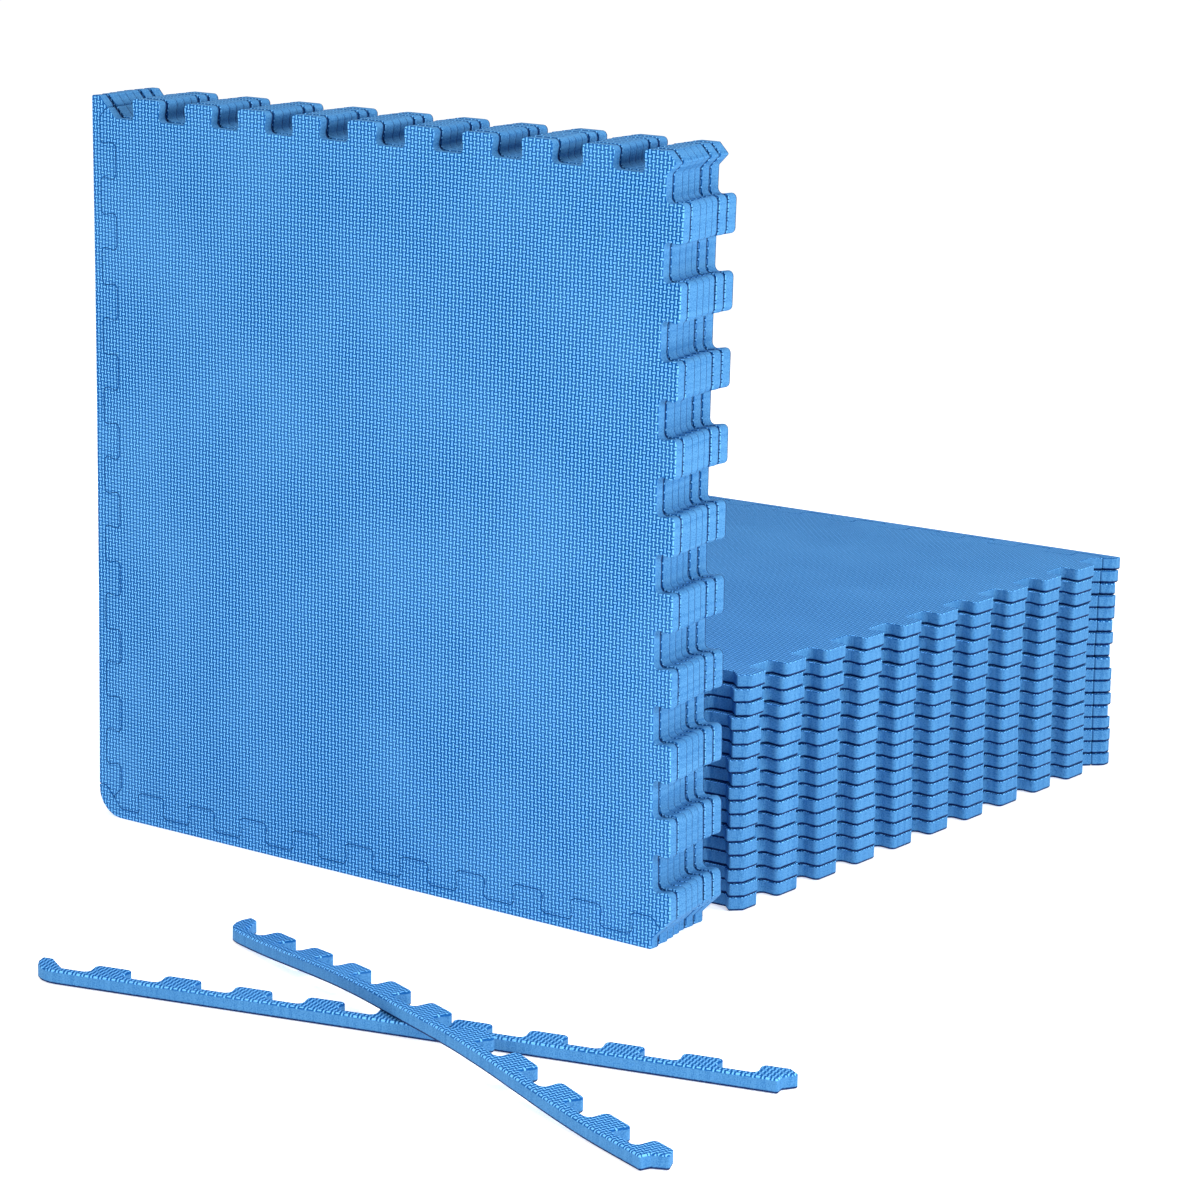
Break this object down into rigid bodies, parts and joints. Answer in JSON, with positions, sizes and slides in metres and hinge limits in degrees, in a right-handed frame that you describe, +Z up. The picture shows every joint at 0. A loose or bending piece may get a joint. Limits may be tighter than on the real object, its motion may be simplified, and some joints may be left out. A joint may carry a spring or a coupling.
{
  "type": "interlocking foam floor tile set",
  "caption": "Square foam floor tiles with dovetail tabs and clip-on toothed border strips, some stacked flat and some standing on edge, with two strips loose.",
  "frame": {"origin": "centre of the whole group's footprint, on the floor", "axes": "+Z up; +X from the loose strips, through the standing tiles, towards the flat stack, square to the standing tiles' faces; +Y along the standing tiles' bottom edge, away from the loose strips' far ends"},
  "size_m": [1.144, 0.9666, 0.627],
  "materials": {
    "tile_foam": "matte",
    "strip_foam": "matte"
  },
  "bodies": {
    "flat_01": {"flat_tile_01": "tile_foam", "flat_strips_01": "strip_foam"},
    "flat_02": {"flat_tile_02": "tile_foam", "flat_strips_02": "strip_foam"},
    "flat_03": {"flat_tile_03": "tile_foam", "flat_strips_03": "strip_foam"},
    "flat_04": {"flat_tile_04": "tile_foam", "flat_strips_04": "strip_foam"},
    "flat_05": {"flat_tile_05": "tile_foam", "flat_strips_05": "strip_foam"},
    "flat_06": {"flat_tile_06": "tile_foam", "flat_strips_06": "strip_foam"},
    "flat_07": {"flat_tile_07": "tile_foam", "flat_strips_07": "strip_foam"},
    "flat_08": {"flat_tile_08": "tile_foam", "flat_strips_08": "strip_foam"},
    "flat_09": {"flat_tile_09": "tile_foam", "flat_strips_09": "strip_foam"},
    "flat_10": {"flat_tile_10": "tile_foam", "flat_strips_10": "strip_foam"},
    "flat_11": {"flat_tile_11": "tile_foam", "flat_strips_11": "strip_foam"},
    "flat_12": {"flat_tile_12": "tile_foam", "flat_strips_12": "strip_foam"},
    "flat_13": {"flat_tile_13": "tile_foam", "flat_strips_13": "strip_foam"},
    "flat_14": {"flat_tile_14": "tile_foam", "flat_strips_14": "strip_foam"},
    "flat_15": {"flat_tile_15": "tile_foam", "flat_strips_15": "strip_foam"},
    "flat_16": {"flat_tile_16": "tile_foam", "flat_strips_16": "strip_foam"},
    "flat_17": {"flat_tile_17": "tile_foam"},
    "top_corner_border": {"top_corner_strip": "strip_foam"},
    "top_edge_border": {"top_edge_strip": "strip_foam"},
    "standing_1": {"standing_tile_1": "tile_foam"},
    "front_corner_border": {"front_corner_strip": "strip_foam"},
    "front_edge_border": {"front_edge_strip": "strip_foam"},
    "standing_2": {"standing_tile_2": "tile_foam", "standing_strips_2": "strip_foam"},
    "standing_3": {"standing_tile_3": "tile_foam", "standing_strips_3": "strip_foam"},
    "standing_4": {"standing_tile_4": "tile_foam", "standing_strips_4": "strip_foam"},
    "standing_5": {"standing_tile_5": "tile_foam", "standing_strips_5": "strip_foam"},
    "standing_6": {"standing_tile_6": "tile_foam", "standing_strips_6": "strip_foam"},
    "standing_7": {"standing_tile_7": "tile_foam", "standing_strips_7": "strip_foam"},
    "loose_lower": {"loose_strip_lower": "strip_foam"},
    "loose_upper": {"loose_strip_upper": "strip_foam"}
  },
  "joints": [
    {"name": "lift_flat_02", "type": "slide", "parent": "flat_01", "child": "flat_02", "axis": [0, 0, 1], "range_m": [0, 0.06]},
    {"name": "lift_flat_03", "type": "slide", "parent": "flat_02", "child": "flat_03", "axis": [0, 0, 1], "range_m": [0, 0.06]},
    {"name": "lift_flat_04", "type": "slide", "parent": "flat_03", "child": "flat_04", "axis": [0, 0, 1], "range_m": [0, 0.06]},
    {"name": "lift_flat_05", "type": "slide", "parent": "flat_04", "child": "flat_05", "axis": [0, 0, 1], "range_m": [0, 0.06]},
    {"name": "lift_flat_06", "type": "slide", "parent": "flat_05", "child": "flat_06", "axis": [0, 0, 1], "range_m": [0, 0.06]},
    {"name": "lift_flat_07", "type": "slide", "parent": "flat_06", "child": "flat_07", "axis": [0, 0, 1], "range_m": [0, 0.06]},
    {"name": "lift_flat_08", "type": "slide", "parent": "flat_07", "child": "flat_08", "axis": [0, 0, 1], "range_m": [0, 0.06]},
    {"name": "lift_flat_09", "type": "slide", "parent": "flat_08", "child": "flat_09", "axis": [0, 0, 1], "range_m": [0, 0.06]},
    {"name": "lift_flat_10", "type": "slide", "parent": "flat_09", "child": "flat_10", "axis": [0, 0, 1], "range_m": [0, 0.06]},
    {"name": "lift_flat_11", "type": "slide", "parent": "flat_10", "child": "flat_11", "axis": [0, 0, 1], "range_m": [0, 0.06]},
    {"name": "lift_flat_12", "type": "slide", "parent": "flat_11", "child": "flat_12", "axis": [0, 0, 1], "range_m": [0, 0.06]},
    {"name": "lift_flat_13", "type": "slide", "parent": "flat_12", "child": "flat_13", "axis": [0, 0, 1], "range_m": [0, 0.06]},
    {"name": "lift_flat_14", "type": "slide", "parent": "flat_13", "child": "flat_14", "axis": [0, 0, 1], "range_m": [0, 0.06]},
    {"name": "lift_flat_15", "type": "slide", "parent": "flat_14", "child": "flat_15", "axis": [0, 0, 1], "range_m": [0, 0.06]},
    {"name": "lift_flat_16", "type": "slide", "parent": "flat_15", "child": "flat_16", "axis": [0, 0, 1], "range_m": [0, 0.06]},
    {"name": "lift_flat_17", "type": "slide", "parent": "flat_16", "child": "flat_17", "axis": [0, 0, 1], "range_m": [0, 0.06]},
    {"name": "unclip_top_corner_border", "type": "slide", "parent": "flat_17", "child": "top_corner_border", "axis": [0, 0, 1], "range_m": [0, 0.04]},
    {"name": "unclip_top_edge_border", "type": "slide", "parent": "flat_17", "child": "top_edge_border", "axis": [0, 0, 1], "range_m": [0, 0.04]},
    {"name": "lift_standing_1", "type": "slide", "parent": "flat_01", "child": "standing_1", "axis": [0, 0, 1], "range_m": [0, 0.65]},
    {"name": "lift_standing_2", "type": "slide", "parent": "flat_01", "child": "standing_2", "axis": [0, 0, 1], "range_m": [0, 0.65]},
    {"name": "lift_standing_3", "type": "slide", "parent": "flat_01", "child": "standing_3", "axis": [0, 0, 1], "range_m": [0, 0.65]},
    {"name": "lift_standing_4", "type": "slide", "parent": "flat_01", "child": "standing_4", "axis": [0, 0, 1], "range_m": [0, 0.65]},
    {"name": "lift_standing_5", "type": "slide", "parent": "flat_01", "child": "standing_5", "axis": [0, 0, 1], "range_m": [0, 0.65]},
    {"name": "lift_standing_6", "type": "slide", "parent": "flat_01", "child": "standing_6", "axis": [0, 0, 1], "range_m": [0, 0.65]},
    {"name": "lift_standing_7", "type": "slide", "parent": "flat_01", "child": "standing_7", "axis": [0, 0, 1], "range_m": [0, 0.65]},
    {"name": "unclip_front_corner_border", "type": "slide", "parent": "standing_1", "child": "front_corner_border", "axis": [-1, 0, 0], "range_m": [0, 0.04]},
    {"name": "unclip_front_edge_border", "type": "slide", "parent": "standing_1", "child": "front_edge_border", "axis": [-1, 0, 0], "range_m": [0, 0.04]},
    {"name": "lift_loose_lower", "type": "slide", "parent": "flat_01", "child": "loose_lower", "axis": [0, 0, 1], "range_m": [0, 0.3]},
    {"name": "lift_loose_upper", "type": "slide", "parent": "loose_lower", "child": "loose_upper", "axis": [0, 0, 1], "range_m": [0, 0.3]}
  ]
}
